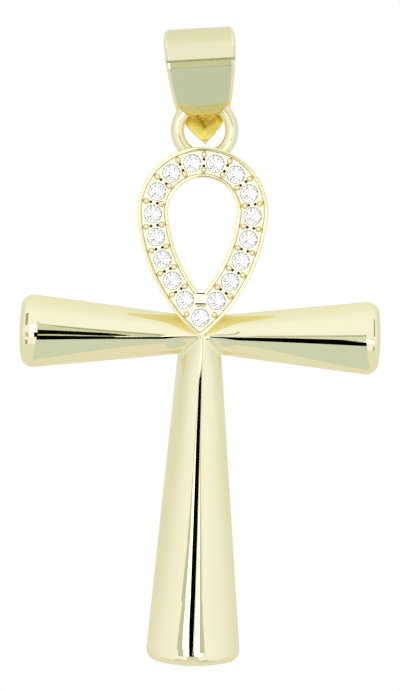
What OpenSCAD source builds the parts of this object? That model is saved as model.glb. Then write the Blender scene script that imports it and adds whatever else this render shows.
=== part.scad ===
// Ankh pendant: a teardrop loop set with small round stones, two flared arms and a flared stem,
// with a ring at the top that hangs in a folded bail.
// Sizes are in millimetres. Z is up, the front faces -Y and X runs along the arms.
// The origin is the inside top of the bail, where the chain carries it.

/* [Arms] */
// Reach of each arm from the crossing to its end
arm_reach = 10.83; // [10:0.05:12]
// Height of an arm at the crossing
arm_root = 2.11; // [1.9:0.01:2.3]
// Height that an arm's sides run out to at its end
arm_end = 4.56; // [4.1:0.02:4.9]
// Corner rounding at an arm's end
arm_corner = 0.75; // [0.5:0.05:0.95]
// Radius of the slight dome of an arm's end
arm_dome = 14; // [10:0.5:20]

/* [Stem] */
// Drop of the stem from the crossing to its foot
stem_drop = 19.9; // [17:0.1:22]
// Width of the stem at the crossing
stem_root = 2.42; // [2.2:0.01:2.6]
// Width that the stem's sides run out to at its foot
stem_end = 5.76; // [5.2:0.02:6.2]
// Corner rounding at the stem's foot
stem_corner = 0.8; // [0.5:0.05:1.1]
// Radius of the dome of the stem's foot
stem_dome = 9.5; // [8:0.5:16]

/* [Thickness] */
// Height of the crowned front over the widest line
dome_front = 0.95; // [0.85:0.01:1]
// How far the flat back lies behind the widest line
back_depth = 0.74; // [0.6:0.01:0.78]
// How far the widest line of the arms lies behind the ring's middle
body_set = 0.035; // [-0.05:0.005:0.12]

/* [Teardrop loop] */
// Radius of the upper curve, taken at the middle of the band
loop_r = 3.0; // [2.95:0.01:3.1]
// Width of the band
band_w = 1.84; // [1.76:0.01:1.9]
// Height of the upper curve's centre over the crossing
loop_rise = 7.33; // [7.2:0.01:7.5]
// How much larger the side curves' radius is than the upper curve's
side_more = 6.6; // [6.2:0.05:7]
// How far below the loop's widest line the side curves start, in degrees
side_start = 6; // [4:0.5:8]
// How far the band stands proud of the limbs' crown
band_proud = 0.2; // [0.12:0.01:0.3]
// Width of the plain rim on each side of the stones
rim_w = 0.2; // [0.14:0.01:0.24]
// Depth of the sunk floor between the two rims
floor_depth = 0.2; // [0.12:0.01:0.24]

/* [Stones] */
// Diameter of a stone
stone_d = 1.05; // [0.95:0.01:1.08]
// Free space kept between a stone and its seat
stone_gap = 0.02; // [0.015:0.005:0.03]
// Bore through the band behind each stone
light_bore = 0.5; // [0.3:0.05:0.6]
// Diameter of a setting bead
bead_d = 0.34; // [0.26:0.01:0.38]
// Distance of a setting bead from the middle of the band
bead_out = 0.43; // [0.4:0.01:0.46]

/* [Ring] */
// Diameter of the ring, taken at the middle of its wire
ring_d = 3.27; // [3.1:0.01:3.4]
// Diameter of the ring's wire
wire_d = 0.8; // [0.7:0.01:0.84]
// Height of the ring's centre over the crossing
ring_rise = 12.27; // [12.2:0.01:12.5]

/* [Bail] */
// Distance from the bail's inside top to the middle of the ring's wire
bail_drop = 4.2; // [4:0.05:4.6]
// Thickness of the bail's sheet
sheet = 0.3; // [0.26:0.01:0.33]
// Outside radius of the bail's curved top
bail_top_r = 1.95; // [1.85:0.01:2.1]
// Width of the bail at its top
bail_top_w = 4.32; // [4:0.02:4.6]
// Width of the bail where it reaches the ring
bail_low_w = 3.12; // [2.8:0.02:3.2]
// Slope of the front leg towards the ring, in degrees
front_slope = 20; // [18:0.5:22]
// Slope of the back leg towards the ring, in degrees
back_slope = 15; // [14:0.5:15.5]
// How far the front leg reaches down past the middle of the ring's wire
front_reach = 0.17; // [0.1:0.01:0.25]
// How far the front tongue's tip lies below the middle of the ring's wire
front_tip = 1.5; // [1.46:0.01:1.56]
// How far the back tongue's tip lies below the middle of the ring's wire
back_tip = 2.5; // [2.2:0.02:2.6]
// Lean of the bail against the ankh, in degrees
bail_lean = 4.5; // [0:0.5:6]

/* [Hidden] */
// number of stones, each a node of its own
stones = 17;
// facets round a drawn curve
fine = 96;
// larger than anything here
far = 40;
// how far a line or curve lies inside the round one that it leaves, so that the two really cross
soft = 0.004;
// how far a cut runs past what it cuts
past = 1;
// how far each arm runs into the other, and how far the stem's crown stands over theirs
arm_overlap = 0.2;
stem_proud = 0.03;

// radii of the loop's two edges and of the two edges of its sunk floor
loop_out = loop_r + band_w / 2;
loop_in = loop_r - band_w / 2;
floor_out = loop_out - rim_w;
floor_in = loop_in + rim_w;

// centre of the left side curve's circle, measured from the upper curve's centre
side_x = side_more * cos(side_start);
side_z = side_more * sin(side_start);
// radius of the side curves at the band's middle, and how far they turn before the tip
side_r = loop_r + side_more;
side_turn = acos(side_x / side_r) - side_start;
// lengths along the band's middle, from its top to the side curve and to the tip
upper_len = (90 + side_start) * PI / 180 * loop_r;
half_len = upper_len + side_turn * PI / 180 * side_r;
pitch = 2 * half_len / stones;

// depths, measured from the ring's middle plane
back_y = body_set + back_depth;
band_front = body_set - dome_front - band_proud;
floor_y = band_front + floor_depth;

// stone proportions, as shares of its diameter
crown_h = 0.15 * stone_d;
girdle_h = 0.035 * stone_d;
pavilion_h = 0.43 * stone_d;
// depth of the girdle's front edge: the stone's table ends level with the rims
girdle_y = band_front + crown_h - 0.01;

// where the ankh's axis and the crossing lie, once the bail leans
axis_x = bail_drop * sin(bail_lean);
wire_z = -bail_drop * cos(bail_lean);
ring_z = wire_z - ring_d / 2;
cross_z = ring_z - ring_rise;

function stone_name(i) = str("stone_", i < 10 ? "0" : "", i);

// The band's middle line: a place on it, s along from the top, and the direction out of the loop
function side_angle(s) = -side_start - (s - upper_len) / side_r * 180 / PI;
function right_way(s) = s < upper_len ? 90 - s / loop_r * 180 / PI : side_angle(s);
function right_place(s) = s < upper_len
    ? loop_r * [cos(right_way(s)), sin(right_way(s))]
    : [-side_x, side_z] + side_r * [cos(right_way(s)), sin(right_way(s))];
function mirrored(s, v) = s < 0 ? [-v[0], v[1]] : v;
function way(s) = mirrored(s, [cos(right_way(abs(s))), sin(right_way(abs(s)))]);
function place(s, out = 0) = mirrored(s, right_place(abs(s))) + out * way(s) + [0, loop_rise];

// stones are counted clockwise from the one right of the top
function stone_s(i) = i == 9 ? half_len : i < 9 ? (i - 0.5) * pitch : -(stones - i + 0.5) * pitch;

// A flat outline drawn in X and Z, given a body from depth y0 to y1
module slab(y0, y1) {
    translate([0, y1, 0])
        rotate([90, 0, 0])
            linear_extrude(height = y1 - y0)
                children();
}

// The teardrop's outline: an upper curve of radius r and two side curves that meet at the tip
module drop_outline(r) {
    right_ray = far * [cos(side_start), -sin(side_start)];
    left_ray = [-right_ray[0], right_ray[1]];
    translate([0, loop_rise]) {
        rotate(-90)
            circle(r = r, $fn = fine);
        intersection() {
            translate([-side_x, side_z])
                circle(r = r + side_more - soft, $fn = 2 * fine);
            translate([side_x, side_z])
                circle(r = r + side_more - soft, $fn = 2 * fine);
            polygon([[0, 0], left_ray, [-far, -far], [far, -far], right_ray]);
        }
    }
}

// The outline of a flared limb, from its root at 0 up to its domed, round-cornered end
module limb_outline(root, end, reach, corner, dome, extra) {
    slope = atan((end - root) / 2 / reach);
    along = [sin(slope), cos(slope)];
    inward = [-cos(slope), sin(slope)];
    start = [root / 2, 0];
    dome_c = [0, reach - dome];
    // the corner's circle touches the side and the dome
    w = start + corner * inward - dome_c;
    t = -w * along + sqrt(pow(w * along, 2) - w * w + pow(dome - corner, 2));
    c = start + corner * inward + t * along;
    out = (c - dome_c) / norm(c - dome_c);
    on_side = c - (corner - soft) * inward;
    foot = start + soft * inward - extra * along / along[1];
    polygon([flip(foot), foot, on_side, c, flip(c), flip(on_side)]);
    for (side = [-1, 1])
        translate([side * c[0], c[1]])
            rotate(-90)
                circle(r = corner, $fn = fine);
    intersection() {
        translate(dome_c)
            circle(r = dome - soft, $fn = 3 * fine);
        polygon([flip(c), c, c + far * out, flip(c + far * out)]);
    }
}
function flip(v) = [-v[0], v[1]];

// A cone that crowns a limb's front. Its ridge runs level at "crown" over depth 0, and it
// passes through the limb's side lines at depth 0, at the root and at the end.
module crown_cone(root, end, reach, crown) {
    spread = (end * end - root * root) / 8 / crown / reach;
    tilt = atan(spread);
    root_r = (root * root / 4 + crown * crown * (1 - spread * spread)) / 2 / crown;
    apex = root_r / spread;
    length = apex + reach + past;
    translate([0, -crown, -apex])
        rotate([-tilt, 0, 0])
            cylinder(r1 = 0, r2 = length * spread, h = length, $fn = 2 * fine);
}

// A limb along Z: flat at the back, straight at the sides and crowned at the front
module limb(root, end, reach, corner, dome, crown, extra) {
    intersection() {
        slab(-crown - past, back_depth)
            limb_outline(root, end, reach, corner, dome, extra);
        crown_cone(root, end, reach, crown);
    }
}

module arms_and_stem() {
    translate([0, body_set, 0]) {
        for (turn = [90, -90])
            rotate([0, turn, 0])
                limb(arm_root, arm_end, arm_reach, arm_corner, arm_dome, dome_front, arm_overlap);
        // the stem is a little deeper at the crossing, so that the two meet in clean creases
        rotate([0, 180, 0])
            limb(stem_root, stem_end, stem_drop, stem_corner, stem_dome, dome_front + stem_proud,
                arm_root / 2 - 0.1);
    }
}

// The band round the loop, still filled inside; ankh() opens it
module band() {
    difference() {
        slab(band_front, back_y)
            drop_outline(loop_out);
        slab(band_front - past, floor_y)
            difference() {
                drop_outline(floor_out);
                drop_outline(floor_in);
            }
    }
}

module ring() {
    translate([0, 0, ring_rise])
        rotate([90, 0, 0])
            rotate_extrude($fn = fine)
                translate([ring_d / 2, 0])
                    circle(d = wire_d, $fn = fine / 2);
}

// The space cut for one stone, drawn on Z with the front upwards and the girdle's front edge at 0
module seat() {
    r = stone_d / 2 + stone_gap;
    // the cone runs beside the stone's lower half and ends in the bore
    cone = (r - light_bore / 2) * pavilion_h / (stone_d / 2);
    under = -girdle_h - stone_gap;
    back = girdle_y - back_y - past;
    translate([0, 0, under])
        cylinder(r = r, h = past - under, $fn = fine / 2);
    translate([0, 0, under - cone])
        cylinder(r1 = light_bore / 2, r2 = r, h = cone, $fn = fine / 2);
    translate([0, 0, back])
        cylinder(r = light_bore / 2, h = under - cone - back + soft, $fn = fine / 2);
}

// Puts something drawn on Z at a place on the band, its Z turned to the front
module at_band(s, y, out = 0) {
    p = place(s, out);
    translate([p[0], y, p[1]])
        rotate([90, 0, 0])
            children();
}

module ankh() {
    difference() {
        union() {
            arms_and_stem();
            band();
            ring();
        }
        for (i = [1:stones])
            at_band(stone_s(i), girdle_y)
                seat();
        // the loop's inside, also cut out of the ring's foot
        slab(band_front - past, back_y + past)
            drop_outline(loop_in);
    }
    // shared beads: one pair on the band's middle line between neighbouring stones
    for (i = [-8:8], out = [-bead_out, bead_out])
        at_band(i * pitch, floor_y, out)
            sphere(d = bead_d, $fn = fine / 4);
}

// One stone: a round brilliant with its table to the front. Heights are measured from the
// girdle's front edge.
function ring_of(n, r, z, turn = 0) = [
    for (a = [turn:360 / n:turn + 359]) [r * cos(a), r * sin(a), z]];
module brilliant() {
    r = stone_d / 2;
    table_r = 0.56 * r;
    star_z = crown_h * 0.55;
    star_r = table_r + (r - table_r) * 0.52;
    low_z = -girdle_h - pavilion_h * 0.78;
    low_r = r * 0.235;
    points = concat(
        ring_of(8, table_r, crown_h),
        ring_of(8, star_r, star_z, 22.5),
        ring_of(16, r, 0),
        ring_of(16, r, -girdle_h),
        ring_of(8, low_r, low_z, 22.5),
        [[0, 0, -girdle_h - pavilion_h]]);
    faces = concat(
        [[7, 6, 5, 4, 3, 2, 1, 0]],
        [for (k = [0:7]) [k, (k + 1) % 8, 8 + k]],
        [for (k = [0:7]) each [
            [k, 8 + k, 16 + 2 * k], [k, 16 + 2 * k, 8 + (k + 7) % 8],
            [8 + k, 16 + 2 * k + 1, 16 + 2 * k], [8 + k, 16 + (2 * k + 2) % 16, 16 + 2 * k + 1]]],
        [for (k = [0:15]) each [
            [16 + k, 16 + (k + 1) % 16, 32 + (k + 1) % 16], [16 + k, 32 + (k + 1) % 16, 32 + k]]],
        [for (k = [0:7]) each [
            [32 + 2 * k, 32 + 2 * k + 1, 48 + k], [32 + 2 * k + 1, 32 + (2 * k + 2) % 16, 48 + k],
            [32 + 2 * k, 48 + k, 56], [32 + 2 * k, 56, 48 + (k + 7) % 8]]]);
    polyhedron(points = points, faces = faces, convexity = 2);
}

// The bail is drawn with the middle of the ring's wire at 0
arch_z = bail_drop + sheet - bail_top_r;

// Corners of a leg below the curved top's centre, from depth 0 to a face that touches a circle
// of radius r and runs down to height z_end. The leg is on the +Y side for side = 1.
function leg_corners(side, slope, r, z_end, over, under) = ordered(side, [
    [-over, 0], (r - soft) * [cos(slope), -sin(slope)], [face_y(slope, r, z_end), z_end - arch_z],
    [face_y(slope, r, z_end), z_end - arch_z - under], [-over, z_end - arch_z - under]]);
function face_y(slope, r, z) = (r - soft - (arch_z - z) * sin(slope)) / cos(slope);
// Corners given clockwise for the +Y side, listed counter-clockwise on the wanted side
function ordered(side, pts) = [
    for (k = side > 0 ? [len(pts) - 1:-1:0] : [0:len(pts) - 1]) [side * pts[k][0], pts[k][1]]];

// An outline drawn in Y and Z, given a width about X = 0 that is more than the bail's own
module cross_slab() {
    translate([-bail_top_w, 0, 0])
        rotate([90, 0, 90])
            linear_extrude(height = 2 * bail_top_w)
                children();
}

// The bail seen from the side, without its front tongue: front leg, curved top and back leg
module bail_side() {
    inner = bail_top_r - sheet;
    translate([0, arch_z])
        difference() {
            union() {
                intersection() {
                    rotate(-90)
                        circle(r = bail_top_r, $fn = fine);
                    // the curve runs on a little way inside each leg
                    polygon([
                        [0, 0], far * [cos(back_slope + 15), -sin(back_slope + 15)], [far, far],
                        [-far, far], far * [-cos(front_slope + 15), -sin(front_slope + 15)]]);
                }
                polygon(leg_corners(1, back_slope, bail_top_r, -back_tip, 0, 0.1));
                polygon(leg_corners(-1, front_slope, bail_top_r, -front_reach, 0, 0));
            }
            rotate(-90)
                circle(r = inner, $fn = fine);
            polygon(leg_corners(1, back_slope, inner, -back_tip, 0.5, 1));
            polygon(leg_corners(-1, front_slope, inner, -front_reach, 0.5, 1));
        }
}

// The front tongue seen from the side. It starts inside the front leg, bends at the knee,
// runs under the ring's wire and ends inside the back leg.
module tongue_side() {
    knee = [-face_y(front_slope, bail_top_r, -front_reach), -front_reach];
    knee_in = knee + [sheet / cos(front_slope), 0];
    bend = [0.7 * knee[0], -0.78 * front_tip];
    end = [back_inner(-front_tip) + 0.5 * sheet, -front_tip];
    over_1 = turned((bend - knee) / norm(bend - knee));
    over_2 = turned((end - bend) / norm(end - bend));
    polygon([
        end, end + sheet * over_2, bend + sheet * (over_1 + over_2) / (1 + over_1 * over_2),
        knee_in, (knee + knee_in) / 2 + [-0.05, 0.25], knee, bend]);
}
function turned(v) = [-v[1], v[0]];
function back_inner(z) = face_y(back_slope, bail_top_r - sheet, z);

// Half width of the bail at height z over the ring's wire
function bail_half(z) = bail_low_w / 2 + (bail_top_w - bail_low_w) / 2 * z / (bail_drop + sheet);

// The bail seen from the front: it tapers down past the ring's wire and then runs to a point
module bail_view() {
    low = -0.55;
    top = bail_drop + sheet + 1;
    half = [[bail_half(top), top], [bail_half(low), low], [0.43 * bail_low_w, low - 0.12], [0, -back_tip]];
    polygon(concat([for (p = half) flip(p)], [for (k = [2:-1:0]) half[k]]));
}

module bail_shape() {
    intersection() {
        cross_slab()
            bail_side();
        slab(-3, 3)
            bail_view();
    }
    // the front tongue narrows from the knee to its own, higher point
    knee_w = 0.45 * bail_low_w;
    intersection() {
        cross_slab()
            tongue_side();
        slab(-3, 3)
            polygon([
                [0, -front_tip], [knee_w, -front_reach], [knee_w, 1], [-knee_w, 1], [-knee_w, -front_reach]]);
    }
}

module ankh_body() {
    color([0.86, 0.78, 0.5])
        translate([axis_x, 0, cross_z])
            ankh();
}

module bail() {
    color([0.86, 0.78, 0.5])
        translate([axis_x, 0, wire_z])
            rotate([0, -bail_lean, 0])
                bail_shape();
}

module stone(i) {
    color([0.9, 0.92, 0.97])
        translate([axis_x, 0, cross_z])
            at_band(stone_s(i), girdle_y)
                brilliant();
}

ankh_body();
bail();
for (i = [1:stones])
    stone(i);
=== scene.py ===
# %% [markdown]
# # An ankh pendant in polished gold
# Pendants like this are cast in pale yellow gold. Two flared arms and a stem meet at a crossing,
# a teardrop loop set with seventeen small round stones stands on it, and a ring on the loop
# hangs in a folded bail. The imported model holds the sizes, which are estimated from the width
# of the stones. This lesson dresses it: it draws the polished forms finely enough to mirror a
# room, and builds that room.
#
# Lengths are written in millimetres, as a jeweller reads them, and become metres in the meshes.

# %% Load the frame
import math

import bmesh
import bpy
import numpy as np
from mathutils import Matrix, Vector
from mathutils.geometry import delaunay_2d_cdt


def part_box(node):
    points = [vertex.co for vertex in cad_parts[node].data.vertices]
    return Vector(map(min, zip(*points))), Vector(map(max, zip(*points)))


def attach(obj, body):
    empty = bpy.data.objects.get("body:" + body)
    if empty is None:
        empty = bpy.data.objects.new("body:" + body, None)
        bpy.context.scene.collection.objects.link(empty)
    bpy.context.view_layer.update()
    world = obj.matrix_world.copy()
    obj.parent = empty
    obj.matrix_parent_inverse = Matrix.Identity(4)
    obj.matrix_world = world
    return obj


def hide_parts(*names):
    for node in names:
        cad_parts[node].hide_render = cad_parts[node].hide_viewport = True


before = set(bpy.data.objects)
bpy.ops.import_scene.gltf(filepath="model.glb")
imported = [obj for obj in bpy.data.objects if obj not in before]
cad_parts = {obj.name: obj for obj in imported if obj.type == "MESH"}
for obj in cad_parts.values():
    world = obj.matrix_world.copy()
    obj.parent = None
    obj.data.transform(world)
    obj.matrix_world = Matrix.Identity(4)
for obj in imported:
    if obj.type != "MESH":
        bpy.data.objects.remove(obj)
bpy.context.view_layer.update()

MM = 0.001

# %% [markdown]
# ## Where the pendant hangs
# The frame's origin is the inside top of the bail. The ankh hangs a little to the right of it,
# because the bail leans. Its axis and the height of its crossing are measured on the packed
# solids. The driving sizes are written out again, because this script reads only the frame.

# %% Places and driving sizes
STEM_DROP = 19.9       # from the crossing to the stem's foot
BODY_SET = 0.035       # how far the limbs' widest line lies behind the ring's middle
BACK_DEPTH = 0.74      # from the widest line to the flat back
CROWN = 0.95           # height of the arms' crown over the widest line
BAND_PROUD = 0.2       # how far the loop's band stands over that crown
BAND_SHORT = 0.01      # the band's back ends this far inside the flat back
LIMBS = {
    "arm": {"root": 2.11, "end": 4.56, "reach": 10.83, "corner": 0.75, "dome": 14.0},
    "stem": {"root": 2.42, "end": 5.76, "reach": STEM_DROP, "corner": 0.8, "dome": 9.5},
}
body_low, body_high = (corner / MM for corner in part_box("ankh_body"))
axis_x = (body_low.x + body_high.x) / 2
cross_z = body_low.z + STEM_DROP
crossing = np.array([axis_x, 0, cross_z])
band_front = BODY_SET - CROWN - BAND_PROUD
band_back = BODY_SET + BACK_DEPTH - BAND_SHORT
print(f"axis at x {axis_x:.3f} mm, crossing at z {cross_z:.3f} mm")


# %% [markdown]
# ## Making a mesh
# Each piece is worked out as points and faces in millimetres. One helper makes the object, at
# the origin and unturned, and can be given exact normals, so that a polished form mirrors the
# room without ripples. Another turns the faces of a closed form outwards.

# %% Helpers for meshes
def new_piece(name, points, faces, normals=None):
    """A smooth-shaded object from points in millimetres."""
    mesh = bpy.data.meshes.new(name)
    mesh.from_pydata([tuple(float(c) * MM for c in p) for p in points], [], [tuple(f) for f in faces])
    mesh.validate()
    mesh.polygons.foreach_set("use_smooth", [True] * len(mesh.polygons))
    if normals is not None:
        mesh.normals_split_custom_set_from_vertices([tuple(n) for n in normals])
    mesh.update()
    piece = bpy.data.objects.new(name, mesh)
    bpy.context.scene.collection.objects.link(piece)
    print(f"{name}: {len(mesh.vertices)} points, {len(mesh.polygons)} faces")
    return piece


def recalculate(piece):
    """Turns every face of a closed mesh outwards."""
    made = bmesh.new()
    made.from_mesh(piece.data)
    bmesh.ops.recalc_face_normals(made, faces=made.faces)
    made.to_mesh(piece.data)
    made.free()


# %% [markdown]
# ## The outline of the cross
# Each limb flares from the crossing to a slightly domed end with round corners. The outline of
# one half is worked out from the limbs' sizes, as the arcs and lines that a pattern maker would
# draw, and then mirrored.

# %% One limb's outline
def flare(limb):
    """How much half of a limb's width grows for each millimetre along it."""
    return (limb["end"] - limb["root"]) / 2 / limb["reach"]


def half_width(limb, along):
    """Half of a limb's width at this distance from the crossing."""
    return limb["root"] / 2 + flare(limb) * along


def round_points(middle, radius, angles):
    """Points on a circle at these angles."""
    return [middle + radius * np.array([math.cos(a), math.sin(a)]) for a in angles]


def limb_outline(limb):
    """The end of one side of a limb as (across, along): where its corner starts, corner and dome."""
    slope = math.atan(flare(limb))
    along = np.array([math.sin(slope), math.cos(slope)])
    inward = np.array([-math.cos(slope), math.sin(slope)])
    start = np.array([limb["root"] / 2, 0.0])
    dome_middle = np.array([0.0, limb["reach"] - limb["dome"]])
    w = start + limb["corner"] * inward - dome_middle
    t = -w @ along + math.sqrt((w @ along) ** 2 - w @ w + (limb["dome"] - limb["corner"]) ** 2)
    corner = start + limb["corner"] * inward + t * along
    on_side = corner - limb["corner"] * inward
    angle_side = math.atan2(-inward[1], -inward[0])
    out = corner - dome_middle
    angle_dome = math.atan2(out[1], out[0])
    arc = round_points(corner, limb["corner"], np.linspace(angle_side, angle_dome, 17))
    dome = round_points(dome_middle, limb["dome"], np.linspace(angle_dome, math.pi / 2, 17)[1:])
    return on_side, arc, dome


def line_points(a, b, step):
    """Evenly spaced points from a up to, but not at, b."""
    count = max(1, round(float(np.linalg.norm(np.subtract(b, a))) / step))
    return [np.add(a, np.subtract(b, a) * (k / count)) for k in range(count)]


# %% The whole outline
STEP = 0.16            # spacing of the points along the straight sides


def cross_outline():
    """The outline of arms and stem in (x, z) about the crossing, counter-clockwise."""
    arm, stem = LIMBS["arm"], LIMBS["stem"]
    inner_x = (stem["root"] + flare(stem) * arm["root"]) / 2 / (1 - flare(stem) * flare(arm))
    inner = np.array([inner_x, -half_width(arm, inner_x)])
    side, arc, dome = limb_outline(arm)
    lower = line_points(inner, (side[1], -side[0]), STEP)
    lower += [np.array([p[1], -p[0]]) for p in arc + dome]
    upper = [np.array([p[1], p[0]]) for p in reversed(arc + dome[:-1])]
    upper += line_points((side[1], side[0]), (0, arm["root"] / 2), STEP)[1:]
    side, arc, dome = limb_outline(stem)
    foot = [np.array([p[0], -p[1]]) for p in reversed(arc + dome)]
    foot += line_points((side[0], -side[1]), inner, STEP)[1:]
    right = foot + lower + upper
    left = [np.array([-p[0], p[1]]) for p in reversed(right[1:])]
    return np.array(right + [np.array([0.0, arm["root"] / 2])] + left)


outline = cross_outline()
print(f"outline of {len(outline)} points, {np.ptp(outline[:, 0]):.2f} by {np.ptp(outline[:, 1]):.2f} mm")

# %% [markdown]
# ## The crowned front
# Each limb is crowned like a shallow roof whose ridge is a knife edge at the crossing and grows
# round towards the end. That is why the dark streak in its polish starts as a point and widens.
# One function gives the height of the front anywhere over the outline: the higher limb wins,
# with a small fillet where they meet, as cast metal has.

# %% How a limb is crowned
ROUND_FROM = 2.4       # distance from the crossing at which the ridge is fully round
RIDGE_EDGE = 0.35      # how round the ridge is at the crossing, as a share of the half width
END_FALL = 0.13        # how fast the ridge falls at its end, in millimetres a square millimetre


def eased(share):
    """A share from 0 to 1 that starts and ends softly."""
    return share * share * (3 - 2 * share)


def limb_height(limb, across, along, crown):
    """Height of a limb's front over the widest line; beyond its sides it only goes on falling."""
    half = np.maximum(half_width(limb, along), 0.4)
    u = np.minimum(np.abs(across) / half, 1.6)
    radius = (half ** 2 + crown ** 2) / 2 / crown
    round_drop = radius - np.sqrt(np.maximum(radius ** 2 - (u * half) ** 2, 1e-6))
    roof = np.sqrt(u ** 2 + RIDGE_EDGE ** 2) - RIDGE_EDGE
    roof_drop = crown * roof / (math.sqrt(1 + RIDGE_EDGE ** 2) - RIDGE_EDGE)
    share = eased(np.clip(along / ROUND_FROM, 0, 1))
    return crown - share * round_drop - (1 - share) * roof_drop


def end_drop(limb, along, across, starts):
    """How far a limb's front has fallen, from this distance before its end."""
    gap = limb["dome"] - np.hypot(np.maximum(along - limb["reach"] + limb["dome"], 0), across)
    near = along > limb["reach"] - 3
    return np.where(near, END_FALL * np.maximum(starts - gap, 0) ** 2, 0)


# %% The height of the whole front
STEM_PROUD = 0.03      # how far the stem's ridge stands over the arms'
STEM_SINKS = 0.6       # slope of the stem's ridge above the crossing, where it sinks under the arms
FILLET = 0.34          # size of the fillet in the creases between limbs
FILLET_FULL = 1.2      # distance from the crossing at which the fillet has that size
END_FROM = 0.86        # distance from a limb's end at which its ridge starts to fall
LEFT_FROM = 1.05       # the same at the left arm
# each ridge lies a little off the middle of its limb: (distance from the crossing, offset)
STEM_RIDGE = ((0, 0.165), (4, 0.165), (8.7, 0.145), (12.3, 0.125), (16, 0.09), (19.2, 0.03))
LEFT_RIDGE = ((0, -0.115), (11, -0.085))
RIGHT_RIDGE = ((0, -0.115), (11, -0.012))


def read_off(table, at):
    """The value that a table of (place, value) rows gives at a place, or at many."""
    return np.interp(at, [row[0] for row in table], [row[1] for row in table])


def front_height(x, z):
    """Height of the crowned front over the widest line, before its edges are rounded."""
    arm, stem = LIMBS["arm"], LIMBS["stem"]
    arm_ridge = np.where(x > 0, read_off(RIGHT_RIDGE, x), read_off(LEFT_RIDGE, -x))
    arms_up = limb_height(arm, z - arm_ridge, np.abs(x), CROWN)
    stem_up = limb_height(stem, x - read_off(STEM_RIDGE, -z), np.maximum(-z, 0), CROWN + STEM_PROUD)
    stem_up = stem_up - np.maximum(z, 0) * STEM_SINKS
    fillet = FILLET * np.clip(np.hypot(x, z) / FILLET_FULL, 0.2, 1)
    near = np.maximum(fillet - np.abs(arms_up - stem_up), 0) / fillet
    top = np.maximum(arms_up, stem_up) + near * near * fillet / 4
    starts = np.where(x > 0, END_FROM, LEFT_FROM)
    return top - end_drop(arm, np.abs(x), z, starts) - end_drop(stem, -z, x, END_FROM)


print(f"the front stands {float(front_height(np.array([2.0]), np.array([0.0]))[0]):.3f} mm high on an arm")


# %% [markdown]
# The outline is copied inwards in rings that get closer together towards the edge, so that the
# rounded edge has its true quarter-round. Inside the last ring, fans of points run along each
# limb, closest at the ridge, and Blender's Delaunay function joins them.

# %% Inside and inwards
def inward_ways(ring):
    """The inward direction at each corner of a closed outline, long enough for an even offset."""
    ahead = np.roll(ring, -1, 0) - ring
    behind = ring - np.roll(ring, 1, 0)
    ahead /= np.linalg.norm(ahead, axis=1)[:, None]
    behind /= np.linalg.norm(behind, axis=1)[:, None]
    left = np.stack([-ahead[:, 1], ahead[:, 0]], 1) + np.stack([-behind[:, 1], behind[:, 0]], 1)
    left /= np.linalg.norm(left, axis=1)[:, None]
    cosine = (left * np.stack([-ahead[:, 1], ahead[:, 0]], 1)).sum(1)
    return left / np.maximum(cosine, 0.5)[:, None]


def edge_distance(points, ring):
    """Least distance of each point from a closed outline."""
    best = np.full(len(points), 1e9)
    for a, b in zip(ring, np.roll(ring, -1, 0)):
        d = b - a
        t = np.clip(((points - a) @ d) / (d @ d), 0, 1)
        best = np.minimum(best, np.linalg.norm(points - (a + t[:, None] * d), axis=1))
    return best


def inside(points, ring):
    """Which points lie inside a closed outline."""
    hits = np.zeros(len(points), bool)
    for a, b in zip(ring, np.roll(ring, -1, 0)):
        spans = (a[1] > points[:, 1]) != (b[1] > points[:, 1])
        if spans.any():
            cut = a[0] + (points[:, 1] - a[1]) / (b[1] - a[1] + 1e-30) * (b[0] - a[0])
            hits ^= spans & (points[:, 0] < cut)
    return hits


# %% The rounded edge
SIDE_EDGE = 0.13       # rounding between the front and the long side walls
END_EDGE = 0.36        # rounding between the front and the ends
BACK_EDGE = 0.1        # rounding between the walls and the back
ARM_TURN = 9.6         # where the arms' edge starts to grow rounder, from the crossing
STEM_TURN = 18.7       # the same on the stem
TURN_RUN = 0.9         # over what length it does
FRONT_RINGS = 11
BACK_RINGS = 5


def edge_radius(flat):
    """The edge's radius at a place: small on the sides, growing into the ends."""
    arm = np.clip((np.abs(flat[:, 0]) - ARM_TURN) / TURN_RUN, 0, 1)
    stem = np.clip((-flat[:, 1] - STEM_TURN) / TURN_RUN, 0, 1)
    return SIDE_EDGE + (END_EDGE - SIDE_EDGE) * eased(np.maximum(arm, stem))


def front_points(flat, ring_way, depth_in, radius):
    """Points and normals of the front: flat is (x, z), depth_in the distance from the edge."""
    x, z = flat[:, 0], flat[:, 1]
    step = 1e-4
    slope_x = (front_height(x + step, z) - front_height(x - step, z)) / 2 / step
    slope_z = (front_height(x, z + step) - front_height(x, z - step)) / 2 / step
    e = np.minimum(depth_in, radius)
    rest = np.sqrt(np.maximum(radius ** 2 - (radius - e) ** 2, 0))
    y = BODY_SET - front_height(x, z) + radius - rest
    lean = (radius - e) / np.maximum(rest, 1e-4)
    normal = np.stack([-slope_x - lean * ring_way[:, 0], -np.ones_like(x),
                       -slope_z - lean * ring_way[:, 1]], 1)
    normal /= np.linalg.norm(normal, axis=1)[:, None]
    return np.stack([x, y, z], 1), normal


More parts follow.
